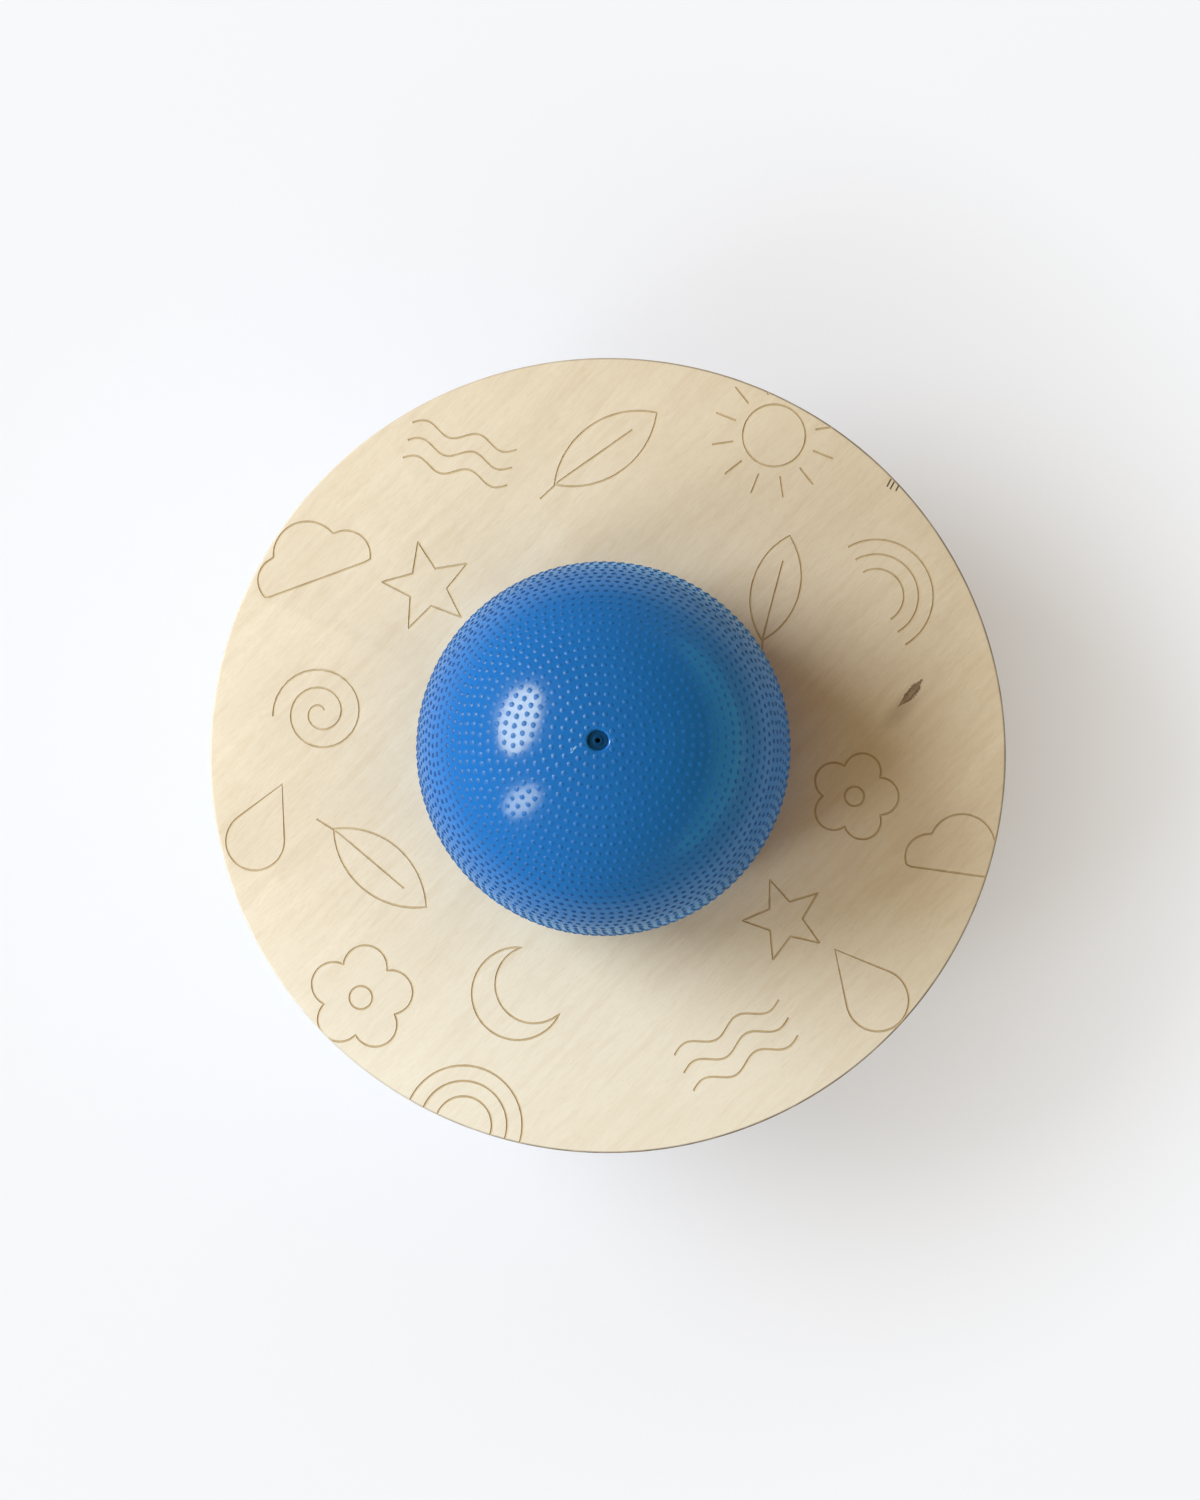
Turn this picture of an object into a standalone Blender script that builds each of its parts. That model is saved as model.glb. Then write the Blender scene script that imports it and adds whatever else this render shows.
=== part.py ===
"""Pogo ball: a hollow vinyl ball of two lobes, necked through the bull-nosed hole of a round plywood deck.

The lower lobe is pressed flat where it stands, and its floor patch slides up the axis as the lobe squashes.
"""
from math import acos, asin, cos, pi, radians, sin, sqrt

import bmesh
import bpy

# Driving dimensions, in metres
DECK_RADIUS = 0.190
DECK_THICKNESS = 0.015
DECK_EDGE_ROUND = 0.0011
PLY_COUNT = 11
GLUE_LINE = 0.0001
LOBE_RADIUS = 0.085
LOBE_RISE = 0.045
SKIN = 0.003
FLAT_DEPTH = 0.004
PATCH_ANGLE = radians(24)
FIT_GAP = 0.0003

# Needle valve, in metres
POCKET_RADIUS = 0.00425
POCKET_DEPTH = 0.0017
POCKET_LIP = 0.0004
SLEEVE_BORE = 0.0032
SLEEVE_RADIUS = 0.0062
SLEEVE_LENGTH = 0.0105
PLUG_HEAD_HEIGHT = 0.0009
PLUG_CLEARANCE = 0.00015
PLUG_BARB_RADIUS = 0.0048
PLUG_BARB_LEDGE = 0.0012
PLUG_TIP_RADIUS = 0.0022
PLUG_TIP_LENGTH = 0.0050
PIN_HOLE_RADIUS = 0.00095
PIN_HOLE_DEPTH = 0.0080

# How finely round forms are turned
TURN_STEPS = 48
PLUG_STEPS = 24
EDGE_STEPS = 3
SEAT_STEPS = 3
WAIST_STEPS = 4
LOBE_OUTER_STEP = radians(7)
LOBE_INNER_STEP = radians(12)
SHARP_ANGLE = radians(40)
MERGE_DISTANCE = 1e-6

# The deck's hole is a full round that both lobes rest against
SEAT_ROUND = DECK_THICKNESS / 2
LOBE_OFFSET = LOBE_RISE + SEAT_ROUND
SEAT_REACH = LOBE_RADIUS + FIT_GAP + SEAT_ROUND
SEAT_CENTRE = sqrt(SEAT_REACH ** 2 - LOBE_OFFSET ** 2)
SEAT_ANGLE = asin(LOBE_OFFSET / SEAT_REACH)

# Heights above the ground
LOWER_CENTRE = LOBE_RADIUS - FLAT_DEPTH
DECK_MIDDLE = LOWER_CENTRE + LOBE_OFFSET
UPPER_CENTRE = DECK_MIDDLE + LOBE_OFFSET
PLY_THICKNESS = (DECK_THICKNESS - GLUE_LINE * (PLY_COUNT - 1)) / PLY_COUNT

# Finishes: colour, roughness
BIRCH_FACE = ("birch_face", (0.74, 0.62, 0.42), 0.45)
BIRCH_ALONG = ("birch_core_along", (0.68, 0.54, 0.34), 0.60)
BIRCH_ACROSS = ("birch_core_across", (0.47, 0.32, 0.17), 0.70)
BALL_VINYL = ("ball_vinyl", (0.012, 0.13, 0.43), 0.22)
VALVE_RUBBER = ("valve_rubber", (0.010, 0.045, 0.13), 0.50)


def clear_scene():
    for leftover in list(bpy.data.objects):
        bpy.data.objects.remove(leftover, do_unlink=True)


def finish(name, colour, roughness):
    material = bpy.data.materials.get(name)
    if material:
        return material
    material = bpy.data.materials.new(name)
    material.use_nodes = True
    shader = material.node_tree.nodes["Principled BSDF"]
    shader.inputs["Base Color"].default_value = (*colour, 1.0)
    shader.inputs["Roughness"].default_value = roughness
    shader.inputs["Metallic"].default_value = 0.0
    return material


def arc(centre_r, centre_z, radius, start, end, steps):
    """Points (r, z) of an arc, with angles counted from the outward direction."""
    points = []
    for step in range(steps + 1):
        angle = start + (end - start) * step / steps
        points.append((centre_r + radius * cos(angle), centre_z + radius * sin(angle)))
    return points


def turn(name, outline, closed, steps, height, parent, material):
    """Turn an outline of (r, z) points about the Z axis into a solid placed at a height."""
    shape = bmesh.new()
    corners = [shape.verts.new((r, 0.0, z)) for r, z in outline]
    sides = [shape.edges.new(pair) for pair in zip(corners, corners[1:])]
    if closed:
        sides.append(shape.edges.new((corners[-1], corners[0])))
    bmesh.ops.spin(shape, geom=corners + sides, axis=(0, 0, 1), cent=(0, 0, 0), angle=2 * pi,
                   steps=steps, use_merge=True)
    bmesh.ops.remove_doubles(shape, verts=shape.verts[:], dist=MERGE_DISTANCE)
    bmesh.ops.recalc_face_normals(shape, faces=shape.faces[:])
    mesh = bpy.data.meshes.new(name)
    shape.to_mesh(mesh)
    shape.free()
    mesh.shade_smooth()
    mesh.set_sharp_from_angle(angle=SHARP_ANGLE)
    mesh.materials.append(material)
    solid = bpy.data.objects.new(name, mesh)
    bpy.context.scene.collection.objects.link(solid)
    solid.parent = parent
    solid.location.z = height - parent.location.z
    return solid


def hole_radius(offset):
    """Radius of the deck's rounded hole at a height off the deck's middle."""
    return SEAT_CENTRE - sqrt(max(SEAT_ROUND ** 2 - offset ** 2, 0.0))


def seat_points(low, high, steps):
    """The hole's edge from a low to a high offset off the deck's middle."""
    offsets = [low + (high - low) * step / steps for step in range(steps + 1)]
    return [(hole_radius(offset), offset) for offset in offsets]


def core_ply_outline(low, high):
    seat = seat_points(low, high, 1)
    return [(DECK_RADIUS, high), (DECK_RADIUS, low)] + seat


def face_veneer_outline(low, high):
    """The uppermost sheet, with the deck's outer edge eased round."""
    edge_centre = (DECK_RADIUS - DECK_EDGE_ROUND, high - DECK_EDGE_ROUND)
    rounded = arc(*edge_centre, DECK_EDGE_ROUND, pi / 2, 0, EDGE_STEPS)
    return rounded + [(DECK_RADIUS, low)] + seat_points(low, high, SEAT_STEPS)


def flipped(outline):
    return [(r, -z) for r, z in outline]


def build_deck(parent):
    """Veneer sheets from the top face down, the grain of each crossing the next."""
    face = finish(*BIRCH_FACE)
    core = (finish(*BIRCH_ALONG), finish(*BIRCH_ACROSS))
    for index in range(PLY_COUNT):
        high = DECK_THICKNESS / 2 - index * (PLY_THICKNESS + GLUE_LINE)
        low = high - PLY_THICKNESS
        if index == 0:
            name = "deck_top_veneer"
            outline = face_veneer_outline(low, high)
            material = face
        elif index == PLY_COUNT - 1:
            name = "deck_bottom_veneer"
            outline = flipped(face_veneer_outline(-high, -low))
            material = face
        else:
            name = f"deck_core_ply_{index + 1:02d}"
            outline = core_ply_outline(low, high)
            material = core[index % 2]
        turn(name, outline, True, TURN_STEPS, DECK_MIDDLE, parent, material)


def lobe_wall(inset, start, step):
    """One face of the ball's skin, from an angle on the lobe down to the waist, about the lobe's centre."""
    steps = round((start + SEAT_ANGLE) / step)
    lobe = arc(0, 0, LOBE_RADIUS - inset, start, -SEAT_ANGLE, steps)
    waist_round = SEAT_ROUND + FIT_GAP + inset
    waist_end = pi - asin(FIT_GAP / 2 / waist_round)
    waist = arc(SEAT_CENTRE, -LOBE_OFFSET, waist_round, pi - SEAT_ANGLE, waist_end, WAIST_STEPS)
    return lobe + waist[1:]


def build_upper_lobe(parent):
    """The upper lobe, with the pocket and sleeve that the valve sits in."""
    lip_start = acos((POCKET_RADIUS + POCKET_LIP) / LOBE_RADIUS)
    lip_height = LOBE_RADIUS * sin(lip_start)
    pocket_floor = LOBE_RADIUS - POCKET_DEPTH
    sleeve_end = pocket_floor - SLEEVE_LENGTH
    root_angle = acos(SLEEVE_RADIUS / (LOBE_RADIUS - SKIN))
    lip = arc(POCKET_RADIUS + POCKET_LIP, lip_height - POCKET_LIP, POCKET_LIP, pi, pi / 2, EDGE_STEPS)
    pocket = [(POCKET_RADIUS, pocket_floor), (SLEEVE_BORE, pocket_floor)]
    sleeve = [(SLEEVE_BORE, sleeve_end), (SLEEVE_RADIUS, sleeve_end)]
    outside = lobe_wall(0.0, lip_start, LOBE_OUTER_STEP)
    inside = lobe_wall(SKIN, root_angle, LOBE_INNER_STEP)
    outline = lip + outside[1:] + inside[::-1] + sleeve[::-1] + pocket[::-1]
    turn("upper_lobe", outline, True, TURN_STEPS, UPPER_CENTRE, parent, finish(*BALL_VINYL))


def build_lower_lobe(parent):
    """The lower lobe, open where the floor patch fills it."""
    edge_angle = pi / 2 - PATCH_ANGLE - FIT_GAP / LOBE_RADIUS
    outside = lobe_wall(0.0, edge_angle, LOBE_OUTER_STEP)
    inside = lobe_wall(SKIN, edge_angle, LOBE_INNER_STEP)
    outline = flipped(outside + inside[::-1])
    turn("lower_lobe", outline, True, TURN_STEPS, LOWER_CENTRE, parent, finish(*BALL_VINYL))


def build_floor_patch(parent):
    """The dish of skin that the ball stands on, flat where it is pressed to the ground."""
    rim = PATCH_ANGLE - pi / 2
    inner_radius = LOBE_RADIUS - SKIN
    flat_outside = -asin(LOWER_CENTRE / LOBE_RADIUS)
    flat_inside = -asin((LOWER_CENTRE - SKIN) / inner_radius)
    outside = arc(0, LOWER_CENTRE, LOBE_RADIUS, rim, flat_outside, EDGE_STEPS)
    inside = arc(0, LOWER_CENTRE, inner_radius, flat_inside, rim, EDGE_STEPS)
    outline = [(0, SKIN)] + inside + outside + [(0, 0)]
    turn("floor_patch", outline, False, TURN_STEPS, 0.0, parent, finish(*BALL_VINYL))


def build_valve_plug(parent):
    """The rubber needle valve: a flush head, a stem through the sleeve and a barb that holds it."""
    head_bottom = LOBE_RADIUS - POCKET_DEPTH + PLUG_CLEARANCE
    head_top = head_bottom + PLUG_HEAD_HEIGHT
    head_radius = POCKET_RADIUS - PLUG_CLEARANCE
    stem_radius = SLEEVE_BORE - PLUG_CLEARANCE
    barb_top = LOBE_RADIUS - POCKET_DEPTH - SLEEVE_LENGTH - PLUG_CLEARANCE
    barb_bottom = barb_top - PLUG_BARB_LEDGE
    tip = barb_bottom - PLUG_TIP_LENGTH
    hole_end = head_top - PIN_HOLE_DEPTH
    hole = [(0, hole_end), (PIN_HOLE_RADIUS, hole_end), (PIN_HOLE_RADIUS, head_top)]
    head = [(head_radius, head_top), (head_radius, head_bottom)]
    stem = [(stem_radius, head_bottom), (stem_radius, barb_top)]
    barb = [(PLUG_BARB_RADIUS, barb_top), (PLUG_BARB_RADIUS, barb_bottom), (PLUG_TIP_RADIUS, tip), (0, tip)]
    outline = hole + head + stem + barb
    turn("valve_plug", outline, False, PLUG_STEPS, UPPER_CENTRE, parent, finish(*VALVE_RUBBER))


def frame_empty(name, height, parent):
    empty = bpy.data.objects.new(name, None)
    bpy.context.scene.collection.objects.link(empty)
    empty.parent = parent
    empty.location.z = height
    return empty


def main():
    clear_scene()
    deck_frame = frame_empty("deck_frame", DECK_MIDDLE, None)
    ground_frame = frame_empty("ground_frame", 0.0, None)
    build_deck(deck_frame)
    build_upper_lobe(deck_frame)
    build_lower_lobe(deck_frame)
    build_valve_plug(deck_frame)
    build_floor_patch(ground_frame)


main()
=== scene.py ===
"""Looks of a pogo ball: a studded vinyl ball, necked through a round, engraved birch deck."""

from math import acos, asin, atan2, cos, pi, radians, sin, sqrt

import bpy
import numpy as np
from mathutils import Matrix, Vector


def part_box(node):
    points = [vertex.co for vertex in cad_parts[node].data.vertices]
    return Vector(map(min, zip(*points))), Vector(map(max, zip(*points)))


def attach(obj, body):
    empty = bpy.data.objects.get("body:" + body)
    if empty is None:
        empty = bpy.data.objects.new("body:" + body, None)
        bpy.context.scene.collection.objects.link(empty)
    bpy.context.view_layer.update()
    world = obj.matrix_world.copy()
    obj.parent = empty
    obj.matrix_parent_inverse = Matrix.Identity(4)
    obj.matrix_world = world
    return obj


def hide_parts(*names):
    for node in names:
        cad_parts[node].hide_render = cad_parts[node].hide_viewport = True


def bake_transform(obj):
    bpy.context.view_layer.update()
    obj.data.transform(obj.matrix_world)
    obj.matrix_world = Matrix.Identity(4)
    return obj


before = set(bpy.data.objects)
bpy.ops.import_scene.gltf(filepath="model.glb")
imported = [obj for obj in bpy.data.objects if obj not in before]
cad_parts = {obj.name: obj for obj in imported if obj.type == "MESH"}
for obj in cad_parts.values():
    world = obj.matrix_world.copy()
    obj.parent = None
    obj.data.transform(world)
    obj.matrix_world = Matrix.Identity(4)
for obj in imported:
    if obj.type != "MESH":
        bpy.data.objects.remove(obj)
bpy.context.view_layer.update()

# Sizes of the ball and its fit in the deck, in metres, as in the frame
LOBE_RISE = 0.045
SKIN = 0.003
FIT_GAP = 0.0003
DECK_EDGE_ROUND = 0.0011
POCKET_RADIUS = 0.00425
POCKET_DEPTH = 0.0017
SLEEVE_BORE = 0.0032
PIN_HOLE_RADIUS = 0.00095

# Lip of the valve's pocket, rounder than in the frame
POCKET_LIP = 0.0013

# Places read from the frame
DECK_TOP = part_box("deck_top_veneer")[1].z
DECK_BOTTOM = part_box("deck_bottom_veneer")[0].z
DECK_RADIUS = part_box("deck_top_veneer")[1].x
LOBE_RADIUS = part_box("upper_lobe")[1].x
DECK_MIDDLE = (DECK_TOP + DECK_BOTTOM) / 2
SEAT_ROUND = (DECK_TOP - DECK_BOTTOM) / 2
LOBE_OFFSET = LOBE_RISE + SEAT_ROUND
SEAT_REACH = LOBE_RADIUS + FIT_GAP + SEAT_ROUND
SEAT_CENTRE = sqrt(SEAT_REACH ** 2 - LOBE_OFFSET ** 2)
SEAT_ANGLE = asin(LOBE_OFFSET / SEAT_REACH)
UPPER_CENTRE = DECK_MIDDLE + LOBE_OFFSET
LOWER_CENTRE = DECK_MIDDLE - LOBE_OFFSET

# Moulded studs: low round caps in rings about the ball's axis, worn lowest at the poles, with painted
# shade darkening them toward the lobe's sides and none at the poles
STUD_RADIUS = 0.00125
STUD_HEIGHT = 0.00032
STUD_SIDE_GAIN = 0.35
STUD_SIDE_POWER = 1.5
STUD_SHADE_START = radians(34)
STUD_SHADE_FULL = radians(66)
STUD_SINK = 0.00010
STUD_SIDES = 10
STUD_STEPS = 2
STUD_RING_STEP = radians(2.94)
STUD_FIRST_RING = radians(4.7)
STUD_LAST_RING = pi / 2 + radians(31)
STUD_PITCH = 0.00415
STUD_RING_TURN = 0.618

# Engraved lines, cut by a round-nosed tool
LINE_TOOL_RADIUS = 0.00068
LINE_TOOL_RISE = 0.00034
NICK_TOOL_RADIUS = 0.00042
NICK_TOOL_RISE = 0.00016
TOOL_STEPS = 2

# How finely round forms are turned, and the angles past which their shading breaks
BALL_SEGMENTS = 144
DECK_SEGMENTS = 288
VALVE_SEGMENTS = 48
LOBE_STEP = radians(2.5)
INNER_STEP = radians(8)
WAIST_STEPS = 8
EDGE_STEPS = 6
CORE_SEAT_STEPS = 2
MERGE = 1e-6
SKIN_CREASE = radians(50)
SHEET_CREASE = radians(30)

# Grain directions, counted from +X
FACE_GRAIN = radians(46)
CROSS_GRAIN = FACE_GRAIN + pi / 2


# Modelling helpers


def deselect():
    if bpy.context.object and bpy.context.object.mode != "OBJECT":
        bpy.ops.object.mode_set(mode="OBJECT")
    bpy.ops.object.select_all(action="DESELECT")


def activate(piece):
    deselect()
    piece.select_set(True)
    bpy.context.view_layer.objects.active = piece


def arc(centre_x, centre_y, radius, start, end, steps):
    """Points along an arc, with angles counted from the first axis."""
    points = []
    for step in range(steps + 1):
        angle = start + (end - start) * step / steps
        points.append((centre_x + radius * cos(angle), centre_y + radius * sin(angle)))
    return points


def turned(name, outline, closed, segments):
    """A wire outline of (r, z) points, spun about the Z axis into a closed piece."""
    wire = bpy.data.meshes.new(name)
    count = len(outline)
    edges = [(i, i + 1) for i in range(count - 1)]
    if closed:
        edges.append((count - 1, 0))
    wire.from_pydata([(r, 0.0, z) for r, z in outline], edges, [])
    piece = bpy.data.objects.new(name, wire)
    bpy.context.scene.collection.objects.link(piece)
    activate(piece)
    bpy.ops.object.mode_set(mode="EDIT")
    bpy.ops.mesh.select_all(action="SELECT")
    bpy.ops.mesh.spin(steps=segments, angle=2 * pi, center=(0, 0, 0), axis=(0, 0, 1))
    bpy.ops.mesh.select_all(action="SELECT")
    bpy.ops.mesh.remove_doubles(threshold=MERGE)
    bpy.ops.mesh.normals_make_consistent(inside=False)
    bpy.ops.object.mode_set(mode="OBJECT")
    return piece


def smooth(piece, angle):
    activate(piece)
    bpy.ops.object.shade_smooth_by_angle(angle=angle)


def dress(piece, material, body, slot, *nodes):
    """Give a finished piece its material, the body it rides on and the solids it stands for."""
    piece.data.materials.clear()
    piece.data.materials.append(material)
    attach(piece, body)
    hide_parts(*nodes)


# Shader helpers


class Nodes:
    """Adds and links nodes in a material's, a world's or a group's tree."""

    def __init__(self, tree):
        self.tree = tree

    def add(self, kind, **settings):
        node = self.tree.nodes.new(kind)
        for key, value in settings.items():
            setattr(node, key, value)
        return node

    def put(self, source, target):
        self.tree.links.new(source, target)

    def feed(self, socket, value):
        if isinstance(value, bpy.types.NodeSocket):
            self.put(value, socket)
        else:
            socket.default_value = value

    def maths(self, operation, first, second=0.0):
        node = self.add("ShaderNodeMath", operation=operation)
        self.feed(node.inputs[0], first)
        self.feed(node.inputs[1], second)
        return node.outputs[0]

    def vectors(self, operation, first, second=(0.0, 0.0, 0.0)):
        node = self.add("ShaderNodeVectorMath", operation=operation)
        self.feed(node.inputs[0], first)
        self.feed(node.inputs[1], second)
        return node.outputs["Value" if operation in ("LENGTH", "DOT_PRODUCT") else "Vector"]

    def split(self, vector):
        node = self.add("ShaderNodeSeparateXYZ")
        self.put(vector, node.inputs[0])
        return node.outputs

    def noise(self, vector, scale, detail=2.0, roughness=0.5, distortion=0.0):
        node = self.add("ShaderNodeTexNoise")
        self.put(vector, node.inputs["Vector"])
        self.feed(node.inputs["Scale"], scale)
        node.inputs["Detail"].default_value = detail
        node.inputs["Roughness"].default_value = roughness
        node.inputs["Distortion"].default_value = distortion
        return node.outputs["Fac"]

    def streaks(self, vector, stretch, detail=2.0, roughness=0.5, distortion=0.0):
        """Noise drawn out along X, with its counts per metre given for each axis."""
        return self.noise(self.vectors("MULTIPLY", vector, stretch), 1.0, detail, roughness, distortion)

    def remap(self, value, low, high, to_low=0.0, to_high=1.0, kind="LINEAR"):
        node = self.add("ShaderNodeMapRange", interpolation_type=kind)
        self.feed(node.inputs["Value"], value)
        self.feed(node.inputs["From Min"], low)
        self.feed(node.inputs["From Max"], high)
        self.feed(node.inputs["To Min"], to_low)
        self.feed(node.inputs["To Max"], to_high)
        return node.outputs["Result"]

    def mix(self, factor, first, second):
        node = self.add("ShaderNodeMix", data_type="RGBA")
        self.feed(node.inputs["Factor"], factor)
        self.feed(node.inputs["A"], first)
        self.feed(node.inputs["B"], second)
        return node.outputs["Result"]

    def tint(self, base, mask, strength, shade):
        """The base colour, taken toward a shade where the mask is on."""
        return self.mix(self.maths("MULTIPLY", mask, strength), base, shade)

    def bump(self, height, distance, strength=1.0):
        node = self.add("ShaderNodeBump")
        self.put(height, node.inputs["Height"])
        node.inputs["Distance"].default_value = distance
        node.inputs["Strength"].default_value = strength
        return node.outputs["Normal"]

    def group(self, tree, **values):
        node = self.add("ShaderNodeGroup", node_tree=tree)
        for label, value in values.items():
            self.feed(node.inputs[label.replace("_", " ")], value)
        return node.outputs

    def place(self):
        return self.add("ShaderNodeTexCoord").outputs["Object"]

    def about(self, place, centre, turn):
        """Coordinates about a mark's own centre, turned with it."""
        node = self.add("ShaderNodeMapping", vector_type="TEXTURE")
        node.inputs["Location"].default_value = centre
        node.inputs["Rotation"].default_value = (0.0, 0.0, turn)
        self.put(place, node.inputs["Vector"])
        return node.outputs["Vector"]

    def attribute(self, name):
        return self.add("ShaderNodeAttribute", attribute_name=name).outputs["Fac"]


def start_material(name, roughness, specular):
    material = bpy.data.materials.new(name)
    material.use_nodes = True
    shader = material.node_tree.nodes["Principled BSDF"]
    shader.inputs["Roughness"].default_value = roughness
    shader.inputs["Specular IOR Level"].default_value = specular
    return material, Nodes(material.node_tree), shader


def colour(r, g, b):
    return (r, g, b, 1.0)


def start_group(name, inputs, outputs):
    tree = bpy.data.node_groups.new(name, "ShaderNodeTree")
    for label, kind in inputs:
        tree.interface.new_socket(label, in_out="INPUT", socket_type=kind)
    for label in outputs:
        tree.interface.new_socket(label, in_out="OUTPUT", socket_type="NodeSocketFloat")
    n = Nodes(tree)
    return tree, n, n.add("NodeGroupInput").outputs, n.add("NodeGroupOutput").inputs


# Birch

BIRCH_DEEP = colour(0.772, 0.708, 0.546)
BIRCH_PALE = colour(0.822, 0.764, 0.607)
# Painted light: the pale, cool tone that the veneer takes toward the deck's lower side
PAINTED_LIGHT_TONE = colour(0.89, 0.885, 0.77)
STREAK_TAN = colour(0.64, 0.53, 0.355)
FIBRE_TAN = colour(0.58, 0.46, 0.30)
FLECK_BROWN = colour(0.45, 0.33, 0.19)
KNOT_STAIN = colour(0.36, 0.26, 0.15)
KNOT_PALE = colour(0.40, 0.305, 0.190)
KNOT_DEEP = colour(0.21, 0.148, 0.084)
KNOT_RIM = colour(0.075, 0.048, 0.026)
GRIME_AND_SHADE = colour(0.13, 0.092, 0.055)
SCORCH_PALE = colour(0.61, 0.510, 0.325)
SCORCH_DEEP = colour(0.50, 0.400, 0.230)
DIRT_PALE = colour(0.20, 0.145, 0.08)
DIRT_DEEP = colour(0.07, 0.05, 0.03)
LONG_WOOD_PALE = colour(0.74, 0.61, 0.42)
LONG_WOOD_DEEP = colour(0.58, 0.45, 0.28)
END_WOOD_PALE = colour(0.42, 0.29, 0.16)
END_WOOD_DEEP = colour(0.25, 0.155, 0.078)

# The knot's place on the deck, turn and size, in metres
KNOT_PLACE = (0.1447, 0.0273, 0.0)
KNOT_TURN = radians(48)
KNOT_LENGTH = 0.0188
KNOT_WIDTH = 0.0038
KNOT_BOW = 0.0008

# Where painted light makes the veneer paler and cooler toward the deck's lower side, along Y
PAINTED_LIGHT_START = -0.03
PAINTED_LIGHT_FULL = -0.17

# How far grime and painted shade reach in from the rim, and the side away from the windows, where the
# painted shade is strongest
GRIME_AND_SHADE_START = 0.0012
GRIME_AND_SHADE_FULL = 0.0004
PAINTED_SHADE_SIDE = (0.966, -0.259, 0.0)

# Shares of the broad bands and the cross ripple in the wood's tone
BROAD_SHARE = 0.7
RIPPLE_SHARE = 0.3

# Multiplied with a place, drops its height
IN_PLANE = (1.0, 1.0, 0.0)


def birch_grain_group():
    """Birch figure along a grain direction: broad tone, soft streaks, fine fibre and short dark flecks."""
    tree, n, given, result = start_group(
        "birch_grain",
        [("Place", "NodeSocketVector"), ("Grain Turn", "NodeSocketFloat")],
        ["Tone", "Streak", "Fibre", "Fleck"],
    )
    along = n.add("ShaderNodeVectorRotate", rotation_type="Z_AXIS")
    n.put(given["Place"], along.inputs["Vector"])
    n.put(n.maths("MULTIPLY", given["Grain Turn"], -1.0), along.inputs["Angle"])
    wood = along.outputs["Vector"]
    broad = n.streaks(wood, (8.0, 65.0, 60.0), 3.0, 0.55, 0.6)
    ripple = n.streaks(wood, (85.0, 24.0, 60.0), 2.0, 0.5, 0.4)
    bands = n.maths("MULTIPLY", broad, BROAD_SHARE)
    n.put(n.maths("ADD", bands, n.maths("MULTIPLY", ripple, RIPPLE_SHARE)), result["Tone"])
    n.put(n.streaks(wood, (32.0, 240.0, 700.0), 4.0, 0.55, 0.6), result["Streak"])
    n.put(n.streaks(wood, (220.0, 1700.0, 1700.0), 2.0, 0.6), result["Fibre"])
    dashes = n.streaks(wood, (260.0, 2300.0, 2300.0), 1.0)
    n.put(n.remap(dashes, 0.66, 0.80), result["Fleck"])
    return tree


def knot_masks(n, place):
    """A small spindle-shaped knot: its body, its dark rim, and the stain that runs from it."""
    spot = n.about(place, KNOT_PLACE, KNOT_TURN)
    axes = n.split(spot)
    ragged = n.noise(place, 700.0, 3.0, 0.65)
    wander = n.remap(ragged, 0.2, 0.8, -0.12, 0.12)
    wobble = n.remap(ragged, 0.2, 0.8, -0.55, 0.55)
    along = n.maths("ADD", n.maths("DIVIDE", axes["X"], KNOT_LENGTH / 2), wander)
    bow = n.maths("MULTIPLY", n.maths("MULTIPLY", along, along), KNOT_BOW)
    bowed = n.maths("SUBTRACT", axes["Y"], bow)
    across = n.maths("DIVIDE", n.maths("ABSOLUTE", bowed), KNOT_WIDTH / 2)
    head = n.maths("POWER", n.maths("MAXIMUM", n.maths("SUBTRACT", 1.0, along), 0.0), 1.1)
    point = n.maths("POWER", n.maths("MAXIMUM", n.maths("ADD", 1.0, along), 0.0), 1.7)
    taper = n.maths("MAXIMUM", n.maths("MULTIPLY", head, point), 0.001)
    spindle = n.maths("ADD", n.maths("DIVIDE", across, taper), wobble)
    body = n.remap(spindle, 1.25, 0.80)
    rim = n.maths("MULTIPLY", body, n.remap(spindle, 0.35, 1.05))
    tail = n.vectors("ADD", n.vectors("MULTIPLY", spot, (62.0, 150.0, 0.0)), (0.55, 0.25, 0.0))
    stain = n.remap(n.vectors("LENGTH", tail), 1.1, 0.0, kind="SMOOTHSTEP")
    return body, rim, stain


def rim_grime_and_shade(n, place):
    """A thin dark line along the outer arris: grime, with painted shade strongest on the side away from
    the windows.
    """
    reach = n.vectors("LENGTH", n.vectors("MULTIPLY", place, IN_PLANE))
    edge = n.remap(reach, DECK_RADIUS - GRIME_AND_SHADE_START, DECK_RADIUS - GRIME_AND_SHADE_FULL)
    side = n.maths("DIVIDE", n.vectors("DOT_PRODUCT", place, PAINTED_SHADE_SIDE), DECK_RADIUS)
    uneven = n.remap(n.noise(place, 90.0, 3.0), 0.3, 0.6, 0.75, 1.0)
    # Painted shade: the line darkens most on the side away from the windows
    sided = n.remap(side, -0.7, 0.3, 0.18, 1.0)
    return n.maths("MULTIPLY", edge, n.maths("MULTIPLY", uneven, sided))


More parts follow.
